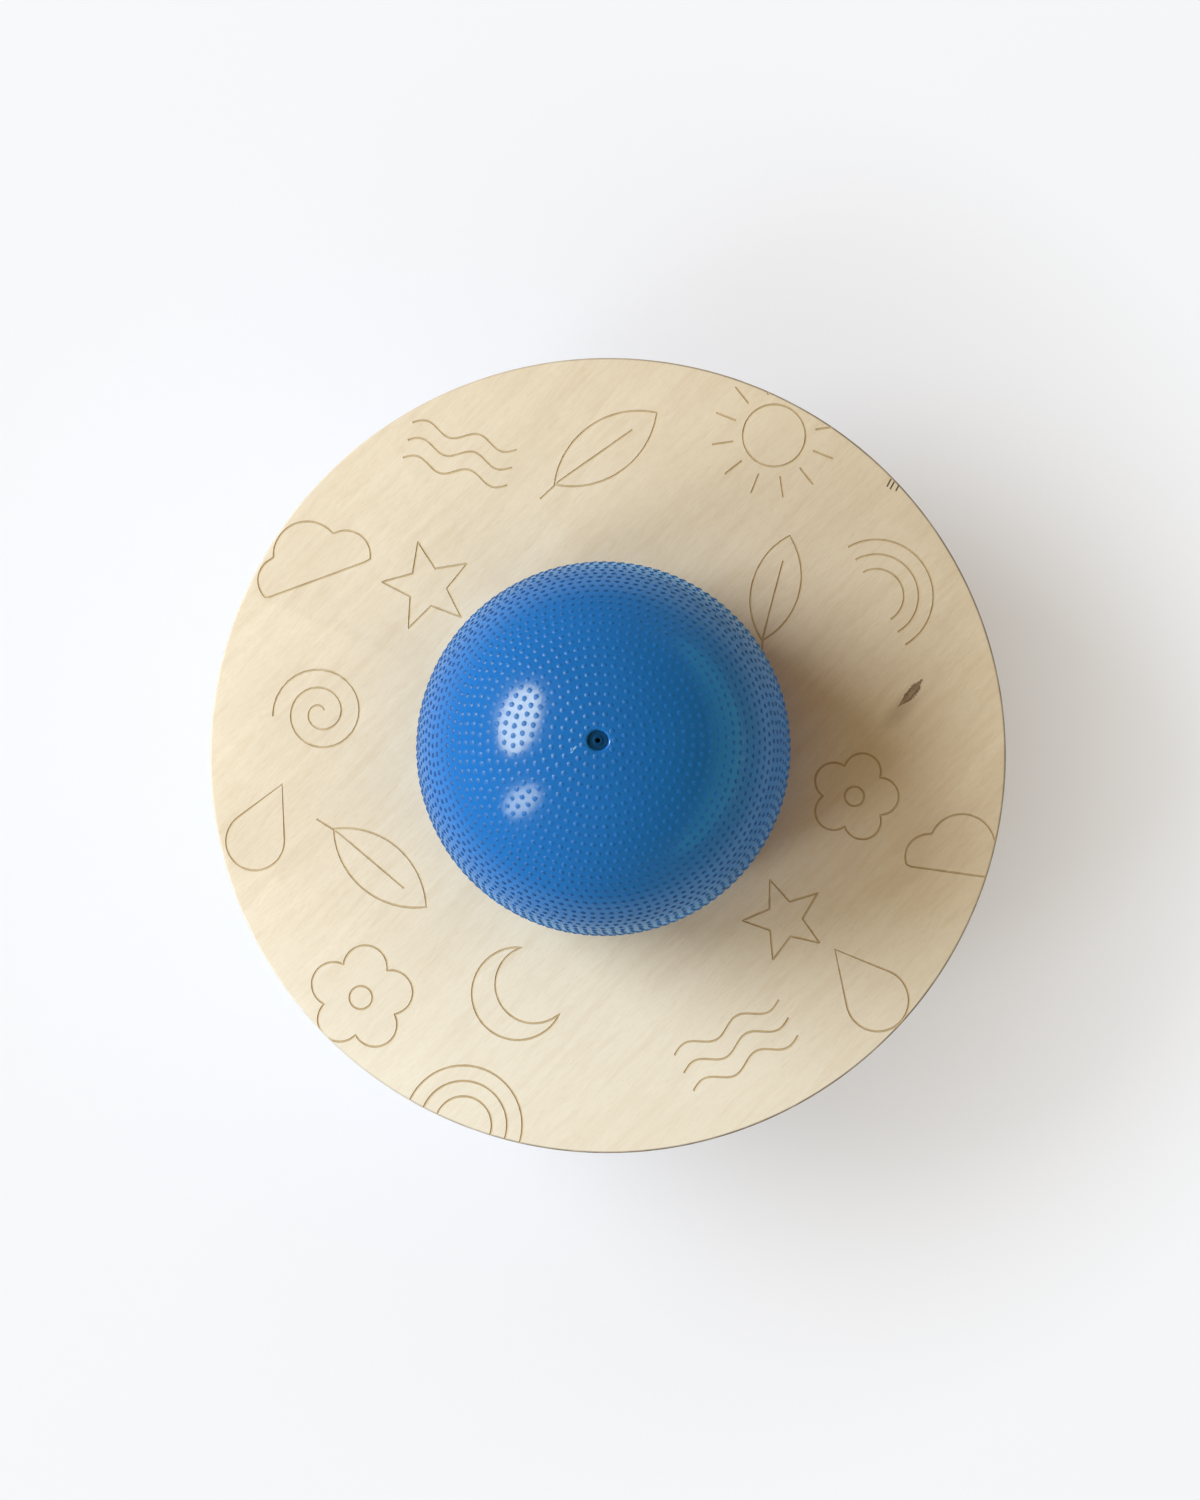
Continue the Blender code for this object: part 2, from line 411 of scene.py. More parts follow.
def birch_face_material(name, grain, knotted):
    """Lacquered birch veneer, with its knot if it shows one."""
    material, n, shader = start_material(name, roughness=0.42, specular=0.25)
    place = n.place()
    figure = n.group(grain, Place=place, Grain_Turn=FACE_GRAIN)
    tone = n.mix(n.remap(figure["Tone"], 0.36, 0.66), BIRCH_DEEP, BIRCH_PALE)
    # Painted light: the veneer is painted paler toward the deck's lower side, where more light falls, and
    # its streaks fade there
    painted_light = n.remap(n.split(place)["Y"], PAINTED_LIGHT_START, PAINTED_LIGHT_FULL, 0.0, 0.82, "SMOOTHSTEP")
    wood = n.mix(painted_light, tone, PAINTED_LIGHT_TONE)
    depth = n.remap(painted_light, 0.0, 1.0, 1.0, 0.5)
    wood = n.tint(wood, n.remap(figure["Streak"], 0.45, 0.70, 0.0, 0.28), depth, STREAK_TAN)
    wood = n.tint(wood, n.remap(figure["Fibre"], 0.45, 0.72, 0.0, 0.20), depth, FIBRE_TAN)
    wood = n.tint(wood, figure["Fleck"], 0.22, FLECK_BROWN)
    if knotted:
        body, rim, stain = knot_masks(n, place)
        core = n.mix(n.remap(figure["Fibre"], 0.35, 0.65), KNOT_PALE, KNOT_DEEP)
        wood = n.tint(wood, stain, 0.42, KNOT_STAIN)
        wood = n.tint(wood, body, 0.9, core)
        wood = n.tint(wood, rim, 0.85, KNOT_RIM)
    # Grime and painted shade darken the outer arris, most on the side away from the windows
    wood = n.mix(rim_grime_and_shade(n, place), wood, GRIME_AND_SHADE)
    n.put(wood, shader.inputs["Base Color"])
    n.put(n.remap(figure["Fibre"], 0.3, 0.7, 0.36, 0.50), shader.inputs["Roughness"])
    n.put(n.bump(figure["Fibre"], 0.00003), shader.inputs["Normal"])
    return material


def engraved_line_material(grain):
    """Tan, lightly scorched wood in the engraved lines."""
    material, n, shader = start_material("engraved_line", roughness=0.75, specular=0.2)
    figure = n.group(grain, Place=n.place(), Grain_Turn=FACE_GRAIN)
    scorch = n.remap(figure["Streak"], 0.35, 0.68)
    n.put(n.mix(scorch, SCORCH_PALE, SCORCH_DEEP), shader.inputs["Base Color"])
    n.put(n.bump(figure["Fibre"], 0.00005), shader.inputs["Normal"])
    return material


def worn_nick_material(grain):
    """Bare, dirty wood in the dents along the rim."""
    material, n, shader = start_material("worn_nick", roughness=0.85, specular=0.15)
    figure = n.group(grain, Place=n.place(), Grain_Turn=FACE_GRAIN)
    dirt = n.remap(figure["Fibre"], 0.35, 0.7)
    n.put(n.mix(dirt, DIRT_PALE, DIRT_DEEP), shader.inputs["Base Color"])
    n.put(n.bump(figure["Fibre"], 0.0001), shader.inputs["Normal"])
    return material


def ply_edge_material(name, grain, turn):
    """A core veneer's sanded edge: pale where it runs along the grain, dark where its end grain shows."""
    material, n, shader = start_material(name, roughness=0.62, specular=0.3)
    place = n.place()
    figure = n.group(grain, Place=place, Grain_Turn=turn)
    outward = n.vectors("NORMALIZE", n.vectors("MULTIPLY", place, IN_PLANE))
    facing = n.vectors("DOT_PRODUCT", outward, (cos(turn), sin(turn), 0.0))
    end_grain = n.maths("POWER", n.maths("ABSOLUTE", facing), 1.5)
    pores = n.remap(n.noise(place, 1500.0, 2.0, 0.6), 0.45, 0.75)
    long_wood = n.mix(n.remap(figure["Streak"], 0.35, 0.65), LONG_WOOD_PALE, LONG_WOOD_DEEP)
    end_wood = n.mix(pores, END_WOOD_PALE, END_WOOD_DEEP)
    n.put(n.mix(end_grain, long_wood, end_wood), shader.inputs["Base Color"])
    n.put(n.bump(figure["Fibre"], 0.00008), shader.inputs["Normal"])
    return material


# Vinyl and rubber

VINYL_DEEP = colour(0.010, 0.158, 0.512)
VINYL_PALE = colour(0.013, 0.182, 0.572)
# Painted shade for the studs round the lobe's sides
STUD_PAINTED_SHADE = colour(0.000, 0.050, 0.235)
SCUFF_PALE = colour(0.36, 0.66, 0.96)
GLOSS_TINT = colour(0.95, 0.92, 0.55)
SHEEN_TINT = colour(0.04, 0.46, 0.90)
RUBBER_DARK = colour(0.002, 0.034, 0.100)
RUBBER_DUSTY = colour(0.004, 0.054, 0.142)

# A short broken scratch on the crown, where the pump is pushed in
SCUFF_PLACE = (-0.0108, -0.0044, 0.0)
SCUFF_TURN = radians(50)
SCUFF_LENGTH = 0.0084
SCUFF_WIDTH = 0.0010

# Mould grain of the vinyl and of the rubber, per metre
VINYL_GRAIN = 1300.0
RUBBER_GRAIN = 1600.0


def handled_skin_group():
    """Marks of moulding and use on soft plastic: cloudy tone, greasy patches and a fine mould grain."""
    tree, n, given, result = start_group(
        "handled_skin",
        [("Place", "NodeSocketVector"), ("Grain Count", "NodeSocketFloat")],
        ["Cloud", "Grease", "Grain"],
    )
    n.put(n.noise(given["Place"], 24.0, 3.0, 0.55), result["Cloud"])
    n.put(n.noise(given["Place"], 60.0, 4.0, 0.6), result["Grease"])
    n.put(n.noise(given["Place"], given["Grain Count"]), result["Grain"])
    return tree


def scuff_mask(n, place):
    """The scratch on the crown, broken up along its length."""
    axes = n.split(n.about(place, SCUFF_PLACE, SCUFF_TURN))
    along = n.remap(n.maths("ABSOLUTE", axes["X"]), SCUFF_LENGTH / 2, SCUFF_LENGTH / 4)
    across = n.remap(n.maths("ABSOLUTE", axes["Y"]), SCUFF_WIDTH / 2, SCUFF_WIDTH / 5)
    broken = n.remap(n.noise(place, 520.0, 2.0, 0.6), 0.44, 0.54)
    return n.maths("MULTIPLY", broken, n.maths("MULTIPLY", along, across))


def ball_vinyl_material(handled):
    """Glossy blue vinyl, a little cloudy, with duller studs, painted shade that darkens the studs round
    the lobe's sides, and one scuff.
    """
    material, n, shader = start_material("ball_vinyl_gloss", roughness=0.16, specular=0.17)
    place = n.place()
    marks = n.group(handled, Place=place, Grain_Count=VINYL_GRAIN)
    blue = n.mix(marks["Cloud"], VINYL_DEEP, VINYL_PALE)
    # Painted shade: studs darkened toward the lobe's sides, standing in for the darker reflections of
    # their flanks
    blue = n.tint(blue, n.attribute("stud_painted_shade"), 0.80, STUD_PAINTED_SHADE)
    blue = n.tint(blue, scuff_mask(n, place), 0.85, SCUFF_PALE)
    n.put(blue, shader.inputs["Base Color"])
    greasy = n.remap(marks["Grease"], 0.3, 0.7, 0.12, 0.20)
    worn = n.maths("MULTIPLY", n.attribute("stud_wear"), 0.25)
    n.put(n.maths("ADD", greasy, worn), shader.inputs["Roughness"])
    n.put(n.bump(marks["Grain"], 0.00002, 0.6), shader.inputs["Normal"])
    shader.inputs["Specular Tint"].default_value = GLOSS_TINT
    shader.inputs["Diffuse Roughness"].default_value = 0.6
    shader.inputs["Sheen Weight"].default_value = 0.65
    shader.inputs["Sheen Roughness"].default_value = 0.30
    shader.inputs["Sheen Tint"].default_value = SHEEN_TINT
    return material


def valve_rubber_material(handled):
    """Dark teal rubber with a dusty bloom."""
    material, n, shader = start_material("valve_rubber_dark", roughness=0.55, specular=0.05)
    marks = n.group(handled, Place=n.place(), Grain_Count=RUBBER_GRAIN)
    n.put(n.mix(marks["Grain"], RUBBER_DARK, RUBBER_DUSTY), shader.inputs["Base Color"])
    n.put(n.remap(marks["Grease"], 0.3, 0.7, 0.45, 0.65), shader.inputs["Roughness"])
    n.put(n.bump(marks["Grain"], 0.00003), shader.inputs["Normal"])
    return material


# The ball


def lobe_wall(inset, start, step):
    """One face of the ball's skin, from an angle on the lobe down to the waist."""
    steps = round((start + SEAT_ANGLE) / step)
    lobe = arc(0, 0, LOBE_RADIUS - inset, start, -SEAT_ANGLE, steps)
    waist_round = SEAT_ROUND + FIT_GAP + inset
    waist_end = pi - asin(FIT_GAP / 2 / waist_round)
    waist = arc(SEAT_CENTRE, -LOBE_OFFSET, waist_round, pi - SEAT_ANGLE, waist_end, WAIST_STEPS)
    return lobe + waist[1:]


def raised(outline, height, flip):
    """An outline about the lobe's centre, set at its height and upside down for the lower lobe."""
    return [(r, height + (-z if flip else z)) for r, z in outline]


def upper_skin():
    """The upper lobe, with a round-lipped pocket for the valve at its crown."""
    lip_start = acos((POCKET_RADIUS + POCKET_LIP) / LOBE_RADIUS)
    lip_height = LOBE_RADIUS * sin(lip_start)
    lip = arc(POCKET_RADIUS + POCKET_LIP, lip_height - POCKET_LIP, POCKET_LIP, pi, lip_start, EDGE_STEPS)
    floor_height = LOBE_RADIUS - POCKET_DEPTH
    inner_start = acos(SLEEVE_BORE / (LOBE_RADIUS - SKIN))
    pocket = [(SLEEVE_BORE, floor_height), (POCKET_RADIUS, floor_height)]
    outside = lobe_wall(0.0, lip_start, LOBE_STEP)
    inside = lobe_wall(SKIN, inner_start, INNER_STEP)
    outline = pocket + lip + outside[1:] + inside[::-1]
    return turned("ball_upper_skin", raised(outline, UPPER_CENTRE, False), True, BALL_SEGMENTS)


def lower_skin():
    """The lower lobe, flat where its studs press on the ground."""
    edge = asin((LOWER_CENTRE - STUD_HEIGHT) / LOBE_RADIUS)
    inner_edge = asin((LOWER_CENTRE - STUD_HEIGHT - SKIN) / (LOBE_RADIUS - SKIN))
    outside = raised(lobe_wall(0.0, edge, LOBE_STEP), LOWER_CENTRE, True)
    inside = raised(lobe_wall(SKIN, inner_edge, INNER_STEP), LOWER_CENTRE, True)
    outline = [(0, STUD_HEIGHT)] + outside + inside[::-1] + [(0, STUD_HEIGHT + SKIN)]
    return turned("ball_lower_skin", outline, False, BALL_SEGMENTS)


def stud_mesh():
    """One low round cap, its foot just under the skin."""
    cap_radius = (STUD_RADIUS ** 2 + STUD_HEIGHT ** 2) / (2 * STUD_HEIGHT)
    foot = asin((cap_radius - STUD_HEIGHT - STUD_SINK) / cap_radius)
    cap = arc(0, STUD_HEIGHT - cap_radius, cap_radius, pi / 2, foot, STUD_STEPS)
    stud = turned("stud", cap + [(0, -STUD_SINK)], False, STUD_SIDES)
    mesh = stud.data
    bpy.data.objects.remove(stud)
    return mesh


def stud_directions():
    """Outward directions of the studs, ring by ring from the pole down to the waist."""
    directions = []
    rings = int((STUD_LAST_RING - STUD_FIRST_RING) / STUD_RING_STEP) + 1
    for ring in range(rings):
        tilt = STUD_FIRST_RING + ring * STUD_RING_STEP
        count = round(2 * pi * LOBE_RADIUS * sin(tilt) / STUD_PITCH)
        for index in range(count):
            turn = 2 * pi * (index / count + ring * STUD_RING_TURN)
            directions.append(Vector((sin(tilt) * cos(turn), sin(tilt) * sin(turn), cos(tilt))))
    return directions


def upper_stud(out):
    return Vector((0, 0, UPPER_CENTRE)) + out * LOBE_RADIUS, out


def lower_stud(out):
    """A stud of the lower lobe, pointing straight down where the ball is flat on the ground."""
    facing = Vector((out.x, out.y, -out.z))
    spot = Vector((0, 0, LOWER_CENTRE)) + facing * LOBE_RADIUS
    if spot.z < STUD_HEIGHT:
        spot.z = STUD_HEIGHT
        facing = Vector((0, 0, -1))
    return spot, facing


def stud_painted_shade(out):
    """How much painted shade darkens a stud: none at the pole, and full round the lobe's sides."""
    share = (acos(abs(out.z)) - STUD_SHADE_START) / (STUD_SHADE_FULL - STUD_SHADE_START)
    share = min(max(share, 0.0), 1.0)
    return share * share * (3.0 - 2.0 * share)


def add_studs(skin, seat):
    """Copies of the one stud, each seated on the skin, joined to it."""
    stud = stud_mesh()
    shape = np.array([v.co for v in stud.vertices])
    faces = [list(f.vertices) for f in stud.polygons]
    points = []
    sides = []
    painted_shades = []
    for out in stud_directions():
        spot, facing = seat(out)
        turn = np.array(facing.to_track_quat("Z", "Y").to_matrix())
        height = 1.0 + STUD_SIDE_GAIN * (1.0 - out.z ** 2) ** STUD_SIDE_POWER
        first = len(points)
        points.extend((shape * (1.0, 1.0, height) @ turn.T + np.array(spot)).tolist())
        sides.extend([[first + v for v in f] for f in faces])
        # Each stud's painted shade, by how far round the lobe it sits
        painted_shades.extend([stud_painted_shade(out)] * len(shape))
    bpy.data.meshes.remove(stud)
    mesh = bpy.data.meshes.new("studs")
    mesh.from_pydata(points, [], sides)
    mesh.attributes.new("stud_painted_shade", "FLOAT", "POINT").data.foreach_set("value", painted_shades)
    mesh.attributes.new("stud_wear", "FLOAT", "POINT").data.foreach_set("value", [1.0] * len(points))
    studs = bpy.data.objects.new("studs", mesh)
    bpy.context.scene.collection.objects.link(studs)
    activate(skin)
    studs.select_set(True)
    bpy.ops.object.join()
    # Studs end at the ground that they press on
    for vertex in skin.data.vertices:
        vertex.co.z = max(vertex.co.z, 0.0)
    smooth(skin, SKIN_CREASE)


def build_ball(vinyl):
    upper = upper_skin()
    add_studs(upper, upper_stud)
    dress(upper, vinyl, "deck", "ball_vinyl", "upper_lobe")
    lower = lower_skin()
    add_studs(lower, lower_stud)
    lower.data.materials.append(vinyl)
    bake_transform(lower)
    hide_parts("lower_lobe", "floor_patch")
    return upper, lower


# The valve's head: its rise over the pocket's floor, roundings, gaps and needle hole, in metres
VALVE_HEAD_RISE = 0.0005
VALVE_ROUND = 0.0003
VALVE_DISH = 0.00025
VALVE_RING_WIDTH = 0.0008
VALVE_RIM_WIDTH = 3 * VALVE_ROUND
VALVE_SIDE_GAP = 0.0001
VALVE_STEM_GAP = 0.0002
NEEDLE_HOLE_DEPTH = 0.006
NEEDLE_HOLE_TAPER = 0.8


def build_valve(rubber):
    """The needle valve's rubber head in its pocket, dished round the needle hole."""
    pocket_floor = UPPER_CENTRE + LOBE_RADIUS - POCKET_DEPTH
    top = pocket_floor + VALVE_HEAD_RISE
    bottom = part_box("valve_plug")[0].z
    head = POCKET_RADIUS - VALVE_SIDE_GAP
    stem = SLEEVE_BORE - VALVE_STEM_GAP
    hole_foot = top - NEEDLE_HOLE_DEPTH
    hole_end = PIN_HOLE_RADIUS * NEEDLE_HOLE_TAPER
    hole = [(0, hole_foot), (hole_end, hole_foot), (PIN_HOLE_RADIUS, top - VALVE_ROUND)]
    ring = PIN_HOLE_RADIUS + VALVE_RING_WIDTH
    dish = [(PIN_HOLE_RADIUS + VALVE_ROUND, top), (ring, top), (ring + VALVE_ROUND, top - VALVE_DISH)]
    rounded = arc(head - VALVE_ROUND, top - VALVE_ROUND, VALVE_ROUND, pi / 2, 0, EDGE_STEPS)
    shoulder = pocket_floor + VALVE_SIDE_GAP
    tip = [(stem, bottom + stem / 3), (stem * 2 / 3, bottom), (0, bottom)]
    inner_rim = (head - VALVE_RIM_WIDTH, top - VALVE_DISH)
    outline = hole + dish + [inner_rim] + rounded + [(head, shoulder), (stem, shoulder)] + tip
    plug = turned("valve_plug_head", outline, False, VALVE_SEGMENTS)
    smooth(plug, SKIN_CREASE)
    dress(plug, rubber, "deck", "valve_rubber", "valve_plug")


# The engraved drawings: each gives strokes of (points, closed), about its own centre


def leaf(size):
    bulge = 0.22 * size
    radius = size ** 2 / (8 * bulge) + bulge / 2
    half = asin(size / 2 / radius)
    upper = arc(0, bulge - radius, radius, pi / 2 + half, pi / 2 - half, 20)
    lower = [(x, -y) for x, y in reversed(upper[1:-1])]
    midrib = [(-0.66 * size, -0.03 * size), (-0.45 * size, 0.0), (0.26 * size, 0.0)]
    return [(upper + lower, True), (midrib, False)]


def drop(size):
    radius = 0.32 * size
    belly = -0.18 * size
    tip = 0.5 * size
    touch = pi / 2 - acos(radius / (tip - belly))
    return [(arc(0, belly, radius, touch, -pi - touch, 32) + [(0, tip)], True)]


def crescent(size):
    outer = 0.5 * size
    inner = 0.42 * size
    shift = 0.2 * size
    cusp_x = (outer ** 2 - inner ** 2 + shift ** 2) / (2 * shift)
    cusp_y = sqrt(outer ** 2 - cusp_x ** 2)
    start = atan2(cusp_y, cusp_x)
    back = atan2(cusp_y, cusp_x - shift)
    rim = arc(0, 0, outer, start, 2 * pi - start, 36)
    hollow = arc(shift, 0, inner, 2 * pi - back, back, 28)
    return [(rim + hollow[1:-1], True)]


def star(size):
    """Five points, with each side given near its ends too, so that the tool keeps its width there."""
    corners = []
    for index in range(10):
        reach = (0.5 if index % 2 == 0 else 0.215) * size
        corners.append(Vector((reach * sin(index * pi / 5), reach * cos(index * pi / 5))))
    points = []
    for index, corner in enumerate(corners):
        following = corners[(index + 1) % 10]
        points += [corner, corner.lerp(following, 0.05), corner.lerp(following, 0.95)]
    return [(points, True)]


def waves(size):
    steps = 36
    span = [step / steps - 0.5 for step in range(steps + 1)]
    strokes = []
    for row in (-1, 0, 1):
        line = [(x * size, 0.17 * row * size + 0.05 * size * sin(4 * pi * x)) for x in span]
        strokes.append((line, False))
    return strokes


def spiral(size):
    turns = 2.4
    steps = 72
    points = []
    for step in range(steps + 1):
        share = step / steps
        angle = 2 * pi * turns * share
        reach = (0.05 + 0.45 * share) * size
        points.append((reach * cos(angle), reach * sin(angle)))
    return [(points, False)]


def round_puffs(puffs, base, size):
    """The outline round overlapping circles of (x, y, radius), cut off level at its base."""
    steps = 120
    points = []
    for step in range(steps):
        angle = 2 * pi * step / steps
        reach = 0.0
        for x, y, radius in puffs:
            along = x * cos(angle) + y * sin(angle)
            aside = -x * sin(angle) + y * cos(angle)
            if abs(aside) < radius:
                reach = max(reach, along + sqrt(radius ** 2 - aside ** 2))
        if sin(angle) < 0:
            reach = min(reach, base / sin(angle))
        points.append((reach * size * cos(angle), reach * size * sin(angle)))
    return points


def cloud(size):
    puffs = ((-0.27, -0.06, 0.19), (-0.01, 0.06, 0.27), (0.28, -0.05, 0.20))
    return [(round_puffs(puffs, -0.155, size), True)]


def sun(size):
    rays = 12
    strokes = [(arc(0, 0, 0.25 * size, 0, 2 * pi, 40)[:-1], True)]
    for ray in range(rays):
        angle = 2 * pi * ray / rays
        ends = [(reach * size * cos(angle), reach * size * sin(angle)) for reach in (0.33, 0.5)]
        strokes.append((ends, False))
    return strokes


def flower(size):
    """Five round petals about a round middle."""
    turns = [2 * pi * petal / 5 for petal in range(5)]
    petals = [(0.29 * cos(turn), 0.29 * sin(turn), 0.21) for turn in turns]
    middle = arc(0, 0, 0.11 * size, 0, 2 * pi, 24)[:-1]
    return [(round_puffs(petals, -1.0, size), True), (middle, True)]


def rainbow(size):
    return [(arc(0, -0.2 * size, reach * size, 0, pi, 28), False) for reach in (0.5, 0.37, 0.24)]


# Each drawing's bearing in degrees, distance from the middle and size in metres, and turn in degrees
DRAWINGS = (
    (sun, 62, 0.172, 0.060, 8),
    (leaf, 90, 0.146, 0.060, 35),
    (waves, 116, 0.160, 0.052, -15),
    (star, 137, 0.117, 0.044, 12),
    (cloud, 147, 0.169, 0.060, 20),
    (spiral, 172, 0.138, 0.046, 40),
    (drop, 192, 0.168, 0.044, -25),
    (leaf, 207, 0.121, 0.058, -40),
    (flower, 225, 0.165, 0.050, 10),
    (rainbow, 249, 0.178, 0.056, -20),
    (crescent, 250, 0.122, 0.044, 30),
    (waves, 294, 0.152, 0.056, 28),
    (star, 317, 0.116, 0.040, 20),
    (drop, 318, 0.166, 0.046, 40),
    (cloud, 344, 0.176, 0.058, -8),
    (flower, 350, 0.120, 0.042, 0),
    (rainbow, 30, 0.160, 0.054, -60),
    (leaf, 44, 0.113, 0.052, 75),
)

# Dents along the rim: bearing in degrees, distance from the middle, length and turn
RIM_NICKS = (
    (43.6, 0.1868, 0.0042, 62),
    (43.0, 0.1871, 0.0042, 62),
    (42.2, 0.1879, 0.0030, 62),
    (197.6, 0.1899, 0.0050, 108),
    (128.0, 0.1900, 0.0044, 40),
)


def set_down(points, bearing, distance, turn):
    """Points about a drawing's own centre, turned and moved to their place on the deck."""
    middle = Vector((distance * cos(radians(bearing)), distance * sin(radians(bearing))))
    turning = Matrix.Rotation(radians(turn), 2)
    return [middle + turning @ Vector(point) for point in points]


def line_cutter(points, closed, radius, rise, material):
    """A closed tube along a stroke, just above the deck's face."""
    curve = bpy.data.curves.new("line_cutter", "CURVE")
    curve.dimensions = "3D"
    curve.bevel_depth = radius
    curve.bevel_resolution = TOOL_STEPS
    curve.use_fill_caps = True
    spline = curve.splines.new("POLY")
    spline.points.add(len(points) - 1)
    for target, (x, y) in zip(spline.points, points):
        target.co = (x, y, DECK_TOP + rise, 1.0)
    spline.use_cyclic_u = closed
    cutter = bpy.data.objects.new("line_cutter", curve)
    bpy.context.scene.collection.objects.link(cutter)
    activate(cutter)
    bpy.ops.object.convert(target="MESH")
    cutter.data.materials.append(material)
    return cutter


def engrave(sheet, cutters):
    """Cut the strokes into the sheet, which takes over their materials in the grooves."""
    tools = bpy.data.collections.new("engraving_tools")
    bpy.context.scene.collection.children.link(tools)
    for cutter in cutters:
        tools.objects.link(cutter)
    cut = sheet.modifiers.new("engraving", "BOOLEAN")
    cut.operand_type = "COLLECTION"
    cut.collection = tools
    cut.solver = "EXACT"
    cut.material_mode = "TRANSFER"
    activate(sheet)
    bpy.ops.object.modifier_apply(modifier=cut.name)
    for cutter in cutters:
        bpy.data.objects.remove(cutter)
    bpy.data.collections.remove(tools)


def deck_cutters(line, nick):
    cutters = []
    for drawing, bearing, distance, size, turn in DRAWINGS:
        for points, closed in drawing(size):
            placed = set_down(points, bearing, distance, turn)
            cutters.append(line_cutter(placed, closed, LINE_TOOL_RADIUS, LINE_TOOL_RISE, line))
    for bearing, distance, length, turn in RIM_NICKS:
        placed = set_down([(-length / 2, 0), (length / 2, 0)], bearing, distance, turn)
        cutters.append(line_cutter(placed, False, NICK_TOOL_RADIUS, NICK_TOOL_RISE, nick))
    return cutters


# The deck


def hole_radius(height):
    """Radius of the deck's rounded hole at a height."""
    offset = height - DECK_MIDDLE
    return SEAT_CENTRE - sqrt(max(SEAT_ROUND ** 2 - offset ** 2, 0.0))


def seat_points(low, high, steps):
    heights = [low + (high - low) * step / steps for step in range(steps + 1)]
    return [(hole_radius(height), height) for height in heights]


def top_sheet():
    low, high = (corner.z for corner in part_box("deck_top_veneer"))
    rim = DECK_RADIUS - DECK_EDGE_ROUND
    edge = arc(rim, high - DECK_EDGE_ROUND, DECK_EDGE_ROUND, pi / 2, 0, EDGE_STEPS)
    outline = edge + [(DECK_RADIUS, low)] + seat_points(low, high, EDGE_STEPS)
    return turned("deck_top_sheet", outline, True, DECK_SEGMENTS)


def bottom_sheet():
    low, high = (corner.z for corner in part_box("deck_bottom_veneer"))
    rim = DECK_RADIUS - DECK_EDGE_ROUND
    edge = arc(rim, low + DECK_EDGE_ROUND, DECK_EDGE_ROUND, 0, -pi / 2, EDGE_STEPS)
    outline = [(DECK_RADIUS, high)] + edge + seat_points(low, high, EDGE_STEPS)
    return turned("deck_bottom_sheet", outline, True, DECK_SEGMENTS)


def core_sheet(name, node):
    low, high = (corner.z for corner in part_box(node))
    outline = [(DECK_RADIUS, high), (DECK_RADIUS, low)] + seat_points(low, high, CORE_SEAT_STEPS)
    return turned(name, outline, True, DECK_SEGMENTS)


def build_deck():
    grain = birch_grain_group()
    top = top_sheet()
    face = birch_face_material("birch_top_lacquered", grain, knotted=True)
    dress(top, face, "deck", "birch_face", "deck_top_veneer")
    engrave(top, deck_cutters(engraved_line_material(grain), worn_nick_material(grain)))
    smooth(top, SHEET_CREASE)
    bottom = bottom_sheet()
    smooth(bottom, SHEET_CREASE)
    under = birch_face_material("birch_under_lacquered", grain, knotted=False)
    dress(bottom, under, "deck", "birch_face", "deck_bottom_veneer")
    along = ply_edge_material("ply_edge_along", grain, FACE_GRAIN)
    across = ply_edge_material("ply_edge_across", grain, CROSS_GRAIN)
    core_nodes = sorted(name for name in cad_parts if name.startswith("deck_core_ply"))
    for index, node in enumerate(core_nodes):
        sheet = core_sheet(node.replace("_ply_", "_sheet_"), node)
        smooth(sheet, SHEET_CREASE)
        if index % 2 == 0:
            dress(sheet, across, "deck", "birch_core_across", node)
        else:
            dress(sheet, along, "deck", "birch_core_along", node)


# The camera, floor and light

# Picture width and focal length in pixels, place and aim in metres, sensor in millimetres
PHOTO_WIDTH = 1200
FOCAL_PIXELS = 2238.0
CAMERA_ABOVE_DECK = 1.0665
CAMERA_ASIDE = (0.0273, -0.0425)
CAMERA_AIM = (-0.00285, 0.00125)
SENSOR = 36.0


def add_camera():
    """Looks almost straight down on the deck, from a little to its right and below it in the picture."""
    aim = Vector((*CAMERA_AIM, DECK_TOP))
    eye = Vector((*CAMERA_ASIDE, DECK_TOP + CAMERA_ABOVE_DECK))
    back = (eye - aim).normalized()
    right = Vector((0, 1, 0)).cross(back).normalized()
    up = back.cross(right)
    lens = bpy.data.cameras.new("photo_camera")
    lens.sensor_fit = "HORIZONTAL"
    lens.sensor_width = SENSOR
    lens.lens = FOCAL_PIXELS / PHOTO_WIDTH * SENSOR
    lens.clip_start = 0.01
    camera = bpy.data.objects.new("photo_camera", lens)
    camera.matrix_world = Matrix.Translation(eye) @ Matrix((right, up, back)).transposed().to_4x4()
    bpy.context.scene.collection.objects.link(camera)
    bpy.context.scene.camera = camera


# Colours of the room's far parts, which the floor fades into, and where its right side begins
ROOM_LEFT = colour(0.44, 0.47, 0.49)
ROOM_RIGHT = colour(0.75, 0.81, 0.83)
ROOM_HIGH_RIGHT = colour(0.27, 0.29, 0.30)
RIGHT_START = 0.1
RIGHT_FULL = 0.6

# Heights in the room above which its right wall is dark, and below which it is pale
WALL_HIGH = 0.42
WALL_LOW = 0.12

# The room's light on things, on the windows' side and away from it
WINDOW_SIDE = (-0.94, -0.34, 0.0)
WINDOW_SIDE_START = -0.05
WINDOW_SIDE_FULL = 0.6
GLOW_AWAY = colour(0.300, 0.160, 0.020)
GLOW_WINDOWS = colour(0.66, 0.59, 0.44)

